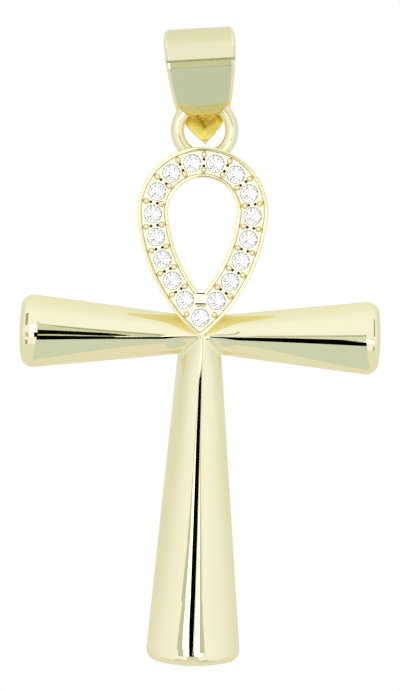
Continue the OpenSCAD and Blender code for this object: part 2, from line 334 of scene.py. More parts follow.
def edge_rings():
    """Rings of points with normals, from the back round to the front, and the last one as (x, z)."""
    ways = inward_ways(outline)
    unit = ways / np.linalg.norm(ways, axis=1)[:, None]
    radii = edge_radius(outline)
    count = len(outline)
    rings = []
    for turn in np.linspace(0, math.pi / 2, BACK_RINGS):
        flat = outline + ways * (BACK_EDGE * (1 - math.sin(turn)))
        y = BODY_SET + BACK_DEPTH - BACK_EDGE * (1 - math.cos(turn))
        out = -unit * math.sin(turn)
        rings.append((np.stack([flat[:, 0], np.full(count, y), flat[:, 1]], 1),
                      np.stack([out[:, 0], np.full(count, math.cos(turn)), out[:, 1]], 1)))
    for k in range(FRONT_RINGS):
        e = radii * (1 - math.cos(math.pi / 2 * k / (FRONT_RINGS - 1)))
        rings.append(front_points(outline + ways * e[:, None], unit, e, radii))
    return rings, outline + ways * radii[:, None]


# %% Points over the front
FAN_STEP = 0.14        # spacing of the fans along a limb
FAN_CLEAR = 0.025      # least distance of a fan's points from the last ring


def fan_points():
    """Points in fans along each limb, as (x, z), much closer together at the ridge."""
    ways = np.concatenate([[0], np.geomspace(0.012, 0.98, 26)])
    ways = np.concatenate([-ways[:0:-1], ways])
    points = []
    for name, turn in (("arm", 1), ("arm", -1), ("stem", 0)):
        reach = LIMBS[name]["reach"]
        for along in np.linspace(0.05, reach, round(reach / FAN_STEP)):
            across = ways * half_width(LIMBS[name], along)
            if turn:
                # below the crease an arm's points give way to the stem's
                points += [(turn * along, w) for w in across[across > -0.92 * along - 0.02]]
            else:
                points += [(w, -along) for w in across[np.abs(across) < 1.08 * along + 0.02]]
    return np.array(points)


def crowned_front(last):
    """Points, normals and triangles inside the last ring, and the ring's point that each one was."""
    fan = fan_points()
    fan = fan[inside(fan, last)]
    fan = fan[edge_distance(fan, last) > FAN_CLEAR]
    spots = [Vector(p) for p in np.concatenate([last, fan])]
    edges = [(k, (k + 1) % len(last)) for k in range(len(last))]
    found, _, triangles, origin, _, _ = delaunay_2d_cdt(spots, edges, [], 1, 1e-6)
    inner = np.full(len(found), END_EDGE)
    points, normals = front_points(np.array(found), np.zeros((len(found), 2)), inner, inner)
    return points, normals, triangles, origin


# %% Arms and stem in one mesh
def cross_mesh():
    """Points, faces and exact normals of the closed cross."""
    rings, last = edge_rings()
    count = len(outline)
    inner_ring = (len(rings) - 1) * count
    faces = []
    for r in range(len(rings) - 1):
        for k in range(count):
            a, b = r * count + k, r * count + (k + 1) % count
            faces.append((a, b, b + count, a + count))
    # the flat back is one face
    faces.append(tuple(range(count - 1, -1, -1)))
    points, normals, triangles, origin = crowned_front(last)
    place, kept = [], []
    for index, came in enumerate(origin):
        if came and came[0] < count:
            place.append(inner_ring + came[0])
        else:
            place.append(inner_ring + count + len(kept))
            kept.append(index)
    faces += [tuple(place[k] for k in triangle) for triangle in triangles]
    points = np.concatenate([ring for ring, _ in rings] + [points[kept]])
    normals = np.concatenate([ring for _, ring in rings] + [normals[kept]])
    return points + crossing, faces, normals


limbs = new_piece("arms_and_stem", *cross_mesh())

# %% [markdown]
# ## The teardrop loop
# The loop is a flat band bent into a teardrop: one arc over the top and two larger arcs that
# meet at the tip. Every line along it, such as the edge of a rim, is the same figure with
# larger or smaller radii, so one function draws them all.

# %% The teardrop
LOOP_R = 3.0           # radius of the upper arc, in the middle of the band
LOOP_RISE = 7.33       # height of that arc's middle over the crossing
SIDE_MORE = 6.6        # how much larger the side arcs' radius is
SIDE_START = math.radians(6)
side_middle = np.array([-SIDE_MORE * math.cos(SIDE_START), SIDE_MORE * math.sin(SIDE_START)])


def teardrop(out, top_count=48, side_count=56):
    """Points in (x, z) about the crossing, clockwise from the top, this far out of the band's middle."""
    radius = LOOP_R + SIDE_MORE + out
    tip = -math.acos(-side_middle[0] / radius)
    right = round_points(np.zeros(2), LOOP_R + out, np.linspace(math.pi / 2, -SIDE_START, top_count))
    right += round_points(side_middle, radius, np.linspace(-SIDE_START, tip, side_count)[1:])
    left = [np.array([-p[0], p[1]]) for p in reversed(right[1:-1])]
    return np.array(right + left) + [0, LOOP_RISE]


print(f"the middle of the band comes down to {teardrop(0)[:, 1].min():.2f} mm above the crossing")

# %% [markdown]
# The band's section is a shallow channel: a rounded rim on each side and a sunk floor between
# them that carries the stones. The section is swept round the teardrop as rings of points.

# %% The band
BAND_W = 1.84
RIM_W = 0.2
RIM_EDGE = 0.07        # rounding of a rim's outer corner
FLOOR_DEPTH = 0.2
WALL_RUN = 0.06        # how far the wall between rim and floor leans
floor_y = band_front + FLOOR_DEPTH


def quarter(out, y, radius, start, end, count=4):
    """Points of an arc in (out, y) about a middle, with angles in degrees."""
    return [tuple(p) for p in round_points(np.array([out, y]), radius,
                                           np.radians(np.linspace(start, end, count)))]


def band_section():
    """The band's section as (out, y), from the back round the outside to the inside."""
    half, fine = BAND_W / 2, RIM_EDGE * 0.4
    section = quarter(half - BACK_EDGE, band_back - BACK_EDGE, BACK_EDGE, 90, 0)
    section += quarter(half - RIM_EDGE, band_front + RIM_EDGE, RIM_EDGE, 0, -90)
    section += quarter(half - RIM_W + fine, band_front + fine, fine, -90, -180, 3)
    section += [(half - RIM_W - WALL_RUN, floor_y)]
    return section + [(-out, y) for out, y in reversed(section)]


def band_mesh():
    section = band_section()
    rings = [teardrop(out) for out, _ in section]
    count = len(rings[0])
    points = np.concatenate([np.stack([ring[:, 0], np.full(count, y), ring[:, 1]], 1)
                             for ring, (_, y) in zip(rings, section)])
    faces = []
    for r in range(len(section)):
        after = (r + 1) % len(section)
        for k in range(count):
            b = (k + 1) % count
            faces.append((r * count + k, r * count + b, after * count + b, after * count + k))
    return points + crossing, faces


band = new_piece("loop_band", *band_mesh())
recalculate(band)

# %% [markdown]
# ## The ring
# The ring is a closed round wire on top of the loop. It is a circle swept round a circle, which
# a Torus would also give; written out, it lies where it belongs from the start.

# %% The ring's wire
RING_D = 3.27          # taken at the middle of the wire
WIRE_D = 0.8
RING_RISE = 12.27      # height of the ring's middle over the crossing


def ring_mesh(around=144, section=40):
    points, faces = [], []
    for i in range(around):
        a = 2 * math.pi * i / around
        for j in range(section):
            b = 2 * math.pi * j / section
            reach = RING_D / 2 + WIRE_D / 2 * math.cos(b)
            points.append((axis_x + reach * math.cos(a), WIRE_D / 2 * math.sin(b),
                           cross_z + RING_RISE + reach * math.sin(a)))
    for i in range(around):
        for j in range(section):
            a, b = i * section, (i + 1) % around * section
            k = (j + 1) % section
            faces.append((a + j, b + j, b + k, a + k))
    return points, faces


ring = new_piece("hanging_ring", *ring_mesh())
recalculate(ring)

# %% [markdown]
# ## The bail
# The bail is a strip of sheet bent over the chain and round the ring. Seen from the side it is
# one line: a tongue that turns in below the wire, a leaning flat, a narrow facet with a groove
# over it, a round top, and a straight back tongue. So the line is a short list of corners with
# a radius each, and the sheet is swept along it with a width that changes with its height.

# %% The bail's bends
BAIL_DROP = 4.2        # from the inside top to the middle of the ring's wire
SHEET = 0.3            # thickness of the sheet
BAIL_TOP_R = 1.95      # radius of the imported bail's round top, on its outside
BACK_SLOPE = math.radians(15)    # how much the back leans
FRONT_SLOPE = math.radians(20)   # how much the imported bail's front leans
FRONT_REACH = 0.17     # how far below the wire the flat here meets that front
BACK_TIP = 2.5         # how far the back tongue's tip lies below the middle of the wire
FLAT_SLOPE = math.tan(math.radians(17.8))  # how much the flat here leans
FRONT_LEAN = math.radians(12.5)  # how much the round top still faces upwards at the groove
# heights over the ring's wire, and distances in Y from it
LIP_Y = -1.885         # front of the lip over the groove
GROOVE_Z = 2.53        # the groove
FACET_LOW = 2.12       # the crease under the narrow facet below the groove
KNEE_Z = 0.05          # the bend where the flat turns into the tongue
TONGUE_MID = (-0.86, -0.45)      # (y, z) of the bend in the tongue
TONGUE_END = (0.0, -1.39)        # (y, z) of its tip
top_z = BAIL_DROP + SHEET
arch_z = top_z - BAIL_TOP_R


def face_y(slope, z):
    """Distance in Y of a flat leg that leaves the round top."""
    return (BAIL_TOP_R - (arch_z - z) * math.sin(slope)) / math.cos(slope)


knee = (-face_y(FRONT_SLOPE, -FRONT_REACH) - FLAT_SLOPE * (KNEE_Z + FRONT_REACH), KNEE_Z)
facet_y = knee[0] - FLAT_SLOPE * (FACET_LOW - knee[1])
bends = [
    (TONGUE_END, 0),
    (TONGUE_MID, 0.6),
    (knee, 0.32),
    ((facet_y, FACET_LOW), 0.05),
    ((facet_y + 0.035, GROOVE_Z - 0.06), 0.015),
    ((facet_y + 0.075, GROOVE_Z), 0.01),
    ((LIP_Y, GROOVE_Z + 0.065), 0.03),
    ((LIP_Y + math.tan(FRONT_LEAN) * (top_z - GROOVE_Z), top_z), 1.8),
    ((face_y(BACK_SLOPE, top_z), top_z), 1.93),
    ((face_y(BACK_SLOPE, -BACK_TIP), -BACK_TIP), 0),
]
print(f"the flat runs from z {KNEE_Z} to {FACET_LOW} mm over the wire")


# %% A line with rounded bends
def turned(vector, angle):
    """A vector turned by an angle."""
    cosine, sine = math.cos(angle), math.sin(angle)
    return np.array([cosine * vector[0] - sine * vector[1], sine * vector[0] + cosine * vector[1]])


def bent_line(bends, step=0.09):
    """Points and directions along a list of ((y, z), radius)."""
    spots, ways = [], []
    corners = [np.array(c, float) for c, _ in bends]
    reached = corners[0]
    for k in range(1, len(corners)):
        way = (corners[k] - corners[k - 1]) / np.linalg.norm(corners[k] - corners[k - 1])
        radius = bends[k][1]
        if k == len(corners) - 1:
            stop, turn = corners[k], 0
        else:
            after = (corners[k + 1] - corners[k]) / np.linalg.norm(corners[k + 1] - corners[k])
            turn = math.atan2(way[0] * after[1] - way[1] * after[0], way @ after)
            stop = corners[k] - way * radius * math.tan(abs(turn) / 2)
        straight = line_points(reached, stop, step)
        spots += straight
        ways += [way] * len(straight)
        if turn:
            side = np.array([-way[1], way[0]]) * (1 if turn > 0 else -1)
            middle = stop + side * radius
            parts = max(4, round(abs(turn) / math.radians(5)))
            for part in range(parts):
                spots.append(middle + turned(-side * radius, turn * part / parts))
                ways.append(turned(way, turn * part / parts))
            reached = middle + turned(-side, turn) * radius
        else:
            spots.append(stop)
            ways.append(way)
    return np.array(spots), np.array(ways)


fold_spots, fold_ways = bent_line(bends)
flat_length = np.linalg.norm(np.diff(fold_spots, axis=0), axis=1).sum()
print(f"the bail's strip is {flat_length:.1f} mm long on its outside")

# %% [markdown]
# The strip's long edges are softly rounded on the outside and get the brighter polished gold, a
# painted highlight for the bright line down each side of the bail. Its front bows a little at the
# lower end, the tongue under it is thinned, and the back tongue is creased down its middle.

# %% The bail's widths
# half widths by the height over the ring's wire
BAIL_HALF = ((-0.17, 1.66), (0.17, 1.77), (0.53, 1.83), (1.25, 1.95), (1.97, 2.04), (2.69, 2.10),
             (3.41, 2.16), (4.13, 2.14), (4.4, 2.07), (4.5, 1.97))
TONGUE_HALF = ((-1.39, 0.03), (-0.52, 1.24), (-0.2, 1.52), (0.05, 1.68))
TAB_TOP = -0.6         # height at which the back tongue starts to narrow
TAB_HALF = 1.42        # its half width there
TIP_HALF = 0.03        # half width of a tongue's tip
SOFT_EDGE = 0.18       # how far the rounding of the outer edges reaches across the sheet
HARD_EDGE = 0.08       # the same on the inside
MID_SHARES = (-0.85, -0.65, -0.4, -0.2, 0, 0.2, 0.4, 0.65, 0.85)


def bail_half(z, on_back, on_tongue):
    """Half the width of the sheet at this height."""
    if on_tongue:
        return float(read_off(TONGUE_HALF, z))
    if on_back and z < TAB_TOP:
        share = (TAB_TOP - z) / (BACK_TIP + TAB_TOP)
        return max(TIP_HALF, TAB_HALF * (1 - min(1, share) ** 1.6))
    return float(read_off(BAIL_HALF, z))


def sheet_section():
    """The sheet's section as (share of the half width, more across, share of the thickness)."""
    corner = [(1, -SOFT_EDGE - 0.04, 1.0)]
    corner += [(1, SOFT_EDGE * (math.cos(a) - 1), 0.5 + 0.5 * math.sin(a))
               for a in np.linspace(math.pi / 2, 0, 7)]
    corner += [(1, HARD_EDGE * (math.cos(a) - 1), 0.5 + 0.5 * math.sin(a))
               for a in np.linspace(0, -math.pi / 2, 5)[1:]]
    corner += [(1, -HARD_EDGE - 0.04, 0.0)]
    other = [(-share, -more, depth) for share, more, depth in reversed(corner)]
    return ([(share, 0, 1.0) for share in MID_SHARES] + corner
            + [(-share, 0, 0.0) for share in MID_SHARES] + other)


sheet_rows = sheet_section()
print(f"the sheet is {2 * bail_half(top_z / 2, False, False):.2f} mm wide half way up")

# %% The bail's sheet
TONGUE = 0.10          # thickness of the thinned front tongue
THINS_OVER = 0.4       # height over which it gets as thin as that
BOW = 0.2              # how much lower the flat ends in its middle than at its sides
FOLD = 0.14            # depth of the crease along the back tongue
BAIL_LEFT = 0.14       # the bail hangs a little left of the middle of the ring
BAIL_LEAN = math.radians(4.5)


def sheet_point(spot, inward, half, thick, on_back, share, more, depth):
    """One point of the sheet, before the bail leans."""
    across = share * half + more * min(1, half / 0.6)
    p = spot + inward * thick * (1 - depth)
    u = min(1, abs(across) / max(half, TIP_HALF))
    if on_back:
        low = np.clip((0.4 - spot[1]) / 0.8, 0, 1)
        p = p + np.array([FOLD * low * (u - 0.5), 0])
    else:
        low = eased(np.clip((0.5 - spot[1]) / 0.6, 0, 1))
        p = p - BOW * low * min(1, half / 1.2) * (1 - u * u) * np.array([-FLAT_SLOPE, 1])
    return across, p[0], p[1]


def bail_points():
    points = []
    for index, (spot, way) in enumerate(zip(fold_spots, fold_ways)):
        inward = np.array([-way[1], way[0]])
        if inward @ (np.array([0, arch_z]) - spot) < 0:
            inward = -inward
        on_back = index > len(fold_spots) / 2
        on_tongue = not on_back and spot[1] < KNEE_Z - 0.02
        half = bail_half(spot[1], on_back, on_tongue)
        thin = (SHEET - TONGUE) * (KNEE_Z - spot[1]) / THINS_OVER
        thick = max(TONGUE, SHEET - thin) if on_tongue else SHEET
        points += [sheet_point(spot, inward, half, thick, on_back, *row) for row in sheet_rows]
    lean = np.array([[math.cos(BAIL_LEAN), 0, -math.sin(BAIL_LEAN)], [0, 1, 0],
                     [math.sin(BAIL_LEAN), 0, math.cos(BAIL_LEAN)]])
    wire = np.array([axis_x - BAIL_LEFT, 0, -BAIL_DROP * math.cos(BAIL_LEAN)])
    return np.array(points) @ lean.T + wire


# %% The bail's faces, each with its finish
# the finishes other than PLAIN are tints of painted light and shade; EDGE is a painted highlight
PLAIN, INSIDE, TURNED_IN, EDGE, GROOVE = range(5)


def bail_finish(i, j, k):
    """Which finish the face between two rows of the sheet's section has, at this place along it."""
    z, in_front = fold_spots[i][1], i < len(fold_spots) / 2
    first, second = sheet_rows[j], sheet_rows[k]
    if first[2] < 0.3 and second[2] < 0.3:
        return INSIDE
    if in_front and z < KNEE_Z - 0.06:
        return TURNED_IN
    if in_front and GROOVE_Z - 0.1 < z < GROOVE_Z + 0.14:
        return GROOVE
    at_edge = abs(first[0]) == abs(second[0]) == 1
    return EDGE if at_edge and first[2] + second[2] > 0.8 else PLAIN


def bail_faces():
    faces, finishes = [], []
    count, last = len(sheet_rows), len(fold_spots) - 1
    for i in range(last):
        for j in range(count):
            k = (j + 1) % count
            faces.append((i * count + j, i * count + k, (i + 1) * count + k, (i + 1) * count + j))
            finishes.append(bail_finish(i, j, k))
    faces.append(tuple(range(count)))
    faces.append(tuple(range((last + 1) * count - 1, last * count - 1, -1)))
    return faces, finishes + [INSIDE, INSIDE]


sheet_faces, sheet_finishes = bail_faces()
bail = new_piece("bail_sheet", bail_points(), sheet_faces)
recalculate(bail)


# %% [markdown]
# ## Gold
# Polished pale yellow gold is all mirror: its colour is the colour of what it mirrors, tinted.
# Nothing is quite even, so a soft noise moves the tint and the gloss a little. The same recipe
# gives copies of the gold, each with its own tint and roughness, and their tints are painted light
# and shade: a darker gold on the bail and in its groove is painted shade, the saturated yellow
# inside the bail and the deeper gold on its tongue are painted reflections of gold in gold, and
# the band's paler floor, yellower channel walls and darker sides are painted light and shade by
# which way the faces face. The tongue gets small dents besides.

# %% A recipe for gold
def principled(name):
    """A new material with its nodes, its links and its main shader."""
    material = bpy.data.materials.new(name)
    material.use_nodes = True
    nodes = material.node_tree.nodes
    shader = next(n for n in nodes if n.type == "BSDF_PRINCIPLED")
    return material, nodes, material.node_tree.links, shader


def gold(name, roughness, paler=(0.860, 0.790, 0.465), deeper=(0.885, 0.825, 0.505)):
    material, nodes, links, shader = principled(name)
    shader.inputs["Metallic"].default_value = 1.0
    coords = nodes.new("ShaderNodeTexCoord")
    cloud = nodes.new("ShaderNodeTexNoise")
    cloud.inputs["Scale"].default_value = 300.0
    cloud.inputs["Detail"].default_value = 3.0
    links.new(coords.outputs["Object"], cloud.inputs["Vector"])
    tint = nodes.new("ShaderNodeValToRGB")
    tint.color_ramp.elements[0].color = (*paler, 1)
    tint.color_ramp.elements[1].color = (*deeper, 1)
    links.new(cloud.outputs["Fac"], tint.inputs["Fac"])
    links.new(tint.outputs["Color"], shader.inputs["Base Color"])
    gloss = nodes.new("ShaderNodeMapRange")
    gloss.inputs["To Min"].default_value = roughness * 0.7
    gloss.inputs["To Max"].default_value = roughness * 1.3
    links.new(cloud.outputs["Fac"], gloss.inputs["Value"])
    links.new(gloss.outputs["Result"], shader.inputs["Roughness"])
    return material


def dented(material):
    """Adds small dents, so that a finish looks mottled and mirrors nothing clearly."""
    nodes, links = material.node_tree.nodes, material.node_tree.links
    shader = next(n for n in nodes if n.type == "BSDF_PRINCIPLED")
    coords = nodes.new("ShaderNodeTexCoord")
    dents = nodes.new("ShaderNodeTexNoise")
    dents.inputs["Scale"].default_value = 4200.0
    links.new(coords.outputs["Object"], dents.inputs["Vector"])
    bump = nodes.new("ShaderNodeBump")
    bump.inputs["Strength"].default_value = 0.5
    bump.inputs["Distance"].default_value = 0.00006
    links.new(dents.outputs["Fac"], bump.inputs["Height"])
    links.new(bump.outputs["Normal"], shader.inputs["Normal"])
    return material


# %% The golds
polished = gold("polished_gold", 0.012)
# the bail gets a darker copy of the polished gold: painted shade
shaded_bail_gold = gold("shaded_bail_gold", 0.012, (0.76, 0.71, 0.40), (0.785, 0.74, 0.435))
# inside the bail a saturated yellow: painted reflection of gold in gold
inner_reflection_gold = gold("inner_reflection_gold", 0.3, (0.98, 0.76, 0.10), (1.0, 0.84, 0.22))
# on the tongue a deeper gold: painted reflection of the gold below it
tongue_reflection_gold = dented(gold("tongue_reflection_gold", 0.12, (0.70, 0.56, 0.16), (0.86, 0.72, 0.28)))
# in the groove a darker gold: painted shade in the crease
groove_shade_gold = gold("groove_shade_gold", 0.5, (0.62, 0.59, 0.34), (0.66, 0.62, 0.36))
# a darker gold for the band's sideways faces: painted shade
shaded_side_gold = gold("shaded_side_gold", 0.1, (0.60, 0.53, 0.25), (0.66, 0.59, 0.30))
setting_gold = gold("setting_gold", 0.09, (0.95, 0.85, 0.47), (0.97, 0.88, 0.51))
# a yellower gold for the leaning walls of the channel: painted light by their facing
wall_gold = gold("wall_gold", 0.12, (0.99, 0.85, 0.41), (0.99, 0.88, 0.45))
# a paler gold for the band's floor and the tip bar: painted highlight
lit_floor_gold = gold("lit_floor_gold", 0.38, (0.97, 0.91, 0.66), (0.98, 0.93, 0.70))
print("golds:", [m.name for m in bpy.data.materials if m.name.endswith("_gold")])

# %% [markdown]
# The stones are clear and bend light strongly, as cubic zirconia does. The small dark pits
# between them and the slots at the tip are painted shade: a dull, nearly black finish stands in for the
# shade inside them.

# %% Stones and painted shade
STONE_IOR = 2.15       # how strongly the stones bend light
stone, _, _, shader = principled("clear_stone")
shader.inputs["Base Color"].default_value = (1.0, 0.995, 0.985, 1)
shader.inputs["Roughness"].default_value = 0.0
shader.inputs["IOR"].default_value = STONE_IOR
shader.inputs["Transmission Weight"].default_value = 1.0

# a dull, nearly black material: painted shade for the pits and the slots at the tip
painted_shade, _, _, shader = principled("painted_shade")
shader.inputs["Base Color"].default_value = (0.02, 0.018, 0.015, 1)
shader.inputs["Roughness"].default_value = 0.6
print("finishes so far:", len(bpy.data.materials))

# %% [markdown]
# ## Seats, pits and beads
# Seventeen stones lie evenly along the middle of the band, one of them at the tip. Each sits in
# a cone cut into the floor, with a small hole behind it for the light. Between two stones lies a
# bead on each side and, except beside the tip, two small dark pits, which are painted shade: low
# dark domes on the floor, not holes. What repeats is one shape at a list of places, so Geometry
# Nodes put a seat cutter, a pit's painted shade or a bead at each of them.

# %% Places along the band
STONES = 17
STONE_D = 1.05
BEAD_D = 0.38
BEAD_OUT = 0.46        # distance of a bead from the middle of the band
PIT_OUT = 0.22         # the same of the inner pit; the outer one is a little closer
PIT_R = 0.11
side_r = LOOP_R + SIDE_MORE
side_turn = math.acos(-side_middle[0] / side_r) - SIDE_START
upper_len = (math.pi / 2 + SIDE_START) * LOOP_R
half_len = upper_len + side_turn * side_r
pitch = 2 * half_len / STONES


def place_at(s, out=0.0):
    """(x, z) about the crossing of a point s along the band from its top, and out of its middle."""
    t = abs(s)
    if t < upper_len:
        angle, radius, middle = math.pi / 2 - t / LOOP_R, LOOP_R, np.zeros(2)
    else:
        angle, radius, middle = -SIDE_START - (t - upper_len) / side_r, side_r, side_middle
    spot = round_points(middle, radius + out, [angle])[0] + [0, LOOP_RISE]
    return np.array([-spot[0] if s < 0 else spot[0], spot[1]])


stone_places = [place_at((k + 0.5) * pitch * side) for k in range(8) for side in (1, -1)]
stone_places.append(place_at(half_len))
bead_places = [place_at(k * pitch, out) for k in range(-8, 9) for out in (-BEAD_OUT, BEAD_OUT)]
pit_places = [place_at(k * pitch, out) for k in range(-7, 8) for out in (-PIT_OUT, 0.8 * PIT_OUT)]
print(f"{len(stone_places)} stones {pitch:.3f} mm apart, {len(bead_places)} beads, {len(pit_places)} pits")


# %% A turned shape and the points it goes to
def turned_shape(name, profile, count=32):
    """A closed turned mesh about Y from (radius, y) points that start and end on the axis."""
    points, faces = [(0, profile[0][1], 0)], []
    for radius, y in profile[1:-1]:
        for k in range(count):
            a = 2 * math.pi * k / count
            points.append((radius * math.cos(a), y, radius * math.sin(a)))
    points.append((0, profile[-1][1], 0))
    rings = len(profile) - 2
    for k in range(count):
        b = (k + 1) % count
        faces.append((0, 1 + b, 1 + k))
        for r in range(rings - 1):
            low, high = 1 + r * count, 1 + (r + 1) * count
            faces.append((low + k, low + b, high + b, high + k))
        faces.append((len(points) - 1, 1 + (rings - 1) * count + k, 1 + (rings - 1) * count + b))
    piece = new_piece(name, points, faces)
    recalculate(piece)
    return piece


def point_cloud(name, places, y):
    """An object of loose points at these places, all at one depth."""
    mesh = bpy.data.meshes.new(name)
    mesh.from_pydata([((axis_x + p[0]) * MM, y * MM, (cross_z + p[1]) * MM) for p in places], [], [])
    piece = bpy.data.objects.new(name, mesh)
    bpy.context.scene.collection.objects.link(piece)
    return piece


# %% A tree that puts a shape at each point
def scatter_tree(name, shape, material):
    """The tree, and the identifier of its input for the shape's size."""
    tree = bpy.data.node_groups.new(name, "GeometryNodeTree")
    tree.interface.new_socket("Geometry", in_out="INPUT", socket_type="NodeSocketGeometry")
    size = tree.interface.new_socket("Size", in_out="INPUT", socket_type="NodeSocketFloat")
    size.default_value = 1.0
    tree.interface.new_socket("Geometry", in_out="OUTPUT", socket_type="NodeSocketGeometry")
    start = tree.nodes.new("NodeGroupInput")
    end = tree.nodes.new("NodeGroupOutput")
    source = tree.nodes.new("GeometryNodeObjectInfo")
    source.inputs["Object"].default_value = shape
    put = tree.nodes.new("GeometryNodeInstanceOnPoints")
    real = tree.nodes.new("GeometryNodeRealizeInstances")
    paint = tree.nodes.new("GeometryNodeSetMaterial")
    paint.inputs["Material"].default_value = material
    link = tree.links.new
    link(start.outputs["Geometry"], put.inputs["Points"])
    link(source.outputs["Geometry"], put.inputs["Instance"])
    link(start.outputs["Size"], put.inputs["Scale"])
    link(put.outputs["Instances"], real.inputs["Geometry"])
    link(real.outputs["Geometry"], paint.inputs["Geometry"])
    link(paint.outputs["Geometry"], end.inputs["Geometry"])
    return tree, size.identifier


def evaluated_mesh(piece):
    """What a piece's modifiers make of it, as a plain mesh."""
    shown = piece.evaluated_get(bpy.context.evaluated_depsgraph_get())
    return bpy.data.meshes.new_from_object(shown)


def scattered(name, shape, places, y, material, size=1.0):
    """A shape at each of these places, as one plain piece. The shape itself is used up."""
    tree, identifier = scatter_tree(name + "_tree", shape, material)
    points = point_cloud(name + "_points", places, y)
    modifier = points.modifiers.new("scatter", "NODES")
    modifier.node_group = tree
    modifier[identifier] = size
    mesh = evaluated_mesh(points)
    mesh.name = name
    piece = bpy.data.objects.new(name, mesh)
    bpy.context.scene.collection.objects.link(piece)
    for used in (points, shape):
        bpy.data.objects.remove(used)
    print(f"{name}: {len(mesh.polygons)} faces")
    return piece


# %% Seats cut into the band
SEAT_GAP = 0.02        # free space round a stone
girdle_y = band_front + 0.15 * STONE_D - 0.01
seat_r = STONE_D / 2 + SEAT_GAP
bore_r = 0.25
seat_low = 0.035 * STONE_D + SEAT_GAP
cone = (seat_r - bore_r) * 0.43 * STONE_D / (STONE_D / 2)
cutter = turned_shape("seat_cutter", [(0, -1), (seat_r, -1), (seat_r, seat_low),
                                      (bore_r, seat_low + cone), (bore_r, 3), (0, 3)])
seats = scattered("seats", cutter, stone_places, girdle_y, setting_gold)
cut = band.modifiers.new("seats", "BOOLEAN")
cut.operation = "DIFFERENCE"
cut.solver = "EXACT"
cut.object = seats
cut_mesh = evaluated_mesh(band)
band.modifiers.clear()
band.data = cut_mesh
bpy.data.objects.remove(seats)
print(f"the band with its seats has {len(band.data.polygons)} faces")

# %% Pits and beads
# a pit's painted shade is a low dark dome on the floor, standing in for the shade inside a pit
shade = turned_shape("pit_shade", [(0, -0.012), (0.7 * PIT_R, -0.008), (PIT_R, 0.01), (0, 0.02)], 14)
shades = scattered("pit_shades", shade, pit_places, floor_y, painted_shade)

bpy.ops.mesh.primitive_uv_sphere_add(segments=20, ring_count=12, radius=0.5 * BEAD_D * MM)
bead = bpy.context.object
bead.data.polygons.foreach_set("use_smooth", [True] * len(bead.data.polygons))
beads = scattered("setting_beads", bead, bead_places, floor_y, setting_gold)


# %% [markdown]
# At the inner tip of the loop a short bar joins the two sides, with a dark slot above it and
# another below. Each is a single small bar written as its eight corners; the slots are painted
# shade, dark bars that stand a hair over the band's front, so nothing has to be cut.

# %% The bar and its slots
def block(name, half_x, low_z, high_z, proud, sunk=0.05):
    """A bar across the loop's tip that stands this proud of the band's front."""
    corners = [(axis_x + x, y, cross_z + z) for y in (band_front - proud, floor_y + sunk)
               for x, z in ((-half_x, low_z), (half_x, low_z), (half_x, high_z), (-half_x, high_z))]
    sides = [(0, 1, 2, 3), (7, 6, 5, 4)] + [(k, k + 4, (k + 1) % 4 + 4, (k + 1) % 4) for k in range(4)]
    piece = new_piece(name, corners, sides)
    piece.data.polygons.foreach_set("use_smooth", [False] * 6)
    recalculate(piece)
    return piece


tip_bar = block("tip_bar", 0.32, 1.88, 2.42, 0.02)
# the two slots are painted shade: dark bars with the dull, nearly black finish
slot_high = block("slot_high", 0.26, 2.42, 2.49, 0.012)
slot_low = block("slot_low", 0.28, 1.80, 1.88, 0.012)

# %% [markdown]
# ## Finishes and bodies
# Each piece is listed with its finish, the body that it moves with, the slot of the record that
# names its material and the solid that it stands for. It gets the finish and rides with the body,
# and the solid is hidden; the slot is not used. The stones are the imported solids themselves.

# %% What each piece is
for piece, finish, body, slot, node in (
    (limbs, polished, "ankh", "gold_body", "ankh_body"),
    (band, setting_gold, "ankh", "gold_body", "ankh_body"),
    (beads, setting_gold, "ankh", "gold_body", "ankh_body"),
    (shades, painted_shade, "ankh", "gold_body", "ankh_body"),
    (tip_bar, lit_floor_gold, "ankh", "gold_body", "ankh_body"),
    (slot_high, painted_shade, "ankh", "gold_body", "ankh_body"),
    (slot_low, painted_shade, "ankh", "gold_body", "ankh_body"),
    (ring, polished, "ankh", "gold_body", "ankh_body"),
    (bail, shaded_bail_gold, "bail", "gold_bail", "bail"),
):
    piece.data.materials.clear()
    piece.data.materials.append(finish)
    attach(piece, body)
    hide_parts(node)
for name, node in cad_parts.items():
    if name.startswith("stone_"):
        node.data.materials.clear()
        node.data.materials.append(stone)
print("stones:", sum(name.startswith("stone_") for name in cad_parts))

# %% [markdown]
# The band and the bail carry several golds, whose tints are painted light and shade. On the band,
# the way a face looks tells where it belongs: the floor faces the front and gets a paler gold as
# painted light, the walls of the channel lean and get a yellower one, and the band's outer walls
# and the sides of the seats face sideways and get a darker one as painted shade. On the bail, each
# face was given its finish when it was made.

# %% Several golds on one piece
for piece in (band, bail):
    piece.data.polygons.foreach_set("use_smooth", [True] * len(piece.data.polygons))
    piece.data.set_sharp_from_angle(angle=math.radians(35))
# the band's tints go by which way a face faces: painted light and shade
for finish in (lit_floor_gold, shaded_side_gold, wall_gold):
    band.data.materials.append(finish)
for face in band.data.polygons:
    facing = face.normal.y
    deep_in = band_front + 0.1 < face.center.y / MM < 0
    if facing < -0.9 and deep_in:
        face.material_index = 1
    elif -0.6 < facing < -0.15 and deep_in:
        face.material_index = 2
    else:
        face.material_index = 3 if abs(facing) < 0.3 else 0
for finish in (inner_reflection_gold, tongue_reflection_gold, polished, groove_shade_gold):
    bail.data.materials.append(finish)
bail.data.polygons.foreach_set("material_index", sheet_finishes)
print("golds on the bail:", [m.name for m in bail.data.materials])

# %% [markdown]
# ## The camera
# The pendant is seen from straight ahead and turned a little clockwise. The camera is set back
# a metre, where perspective hardly shows, with a lens that makes 0.06 mm one pixel.

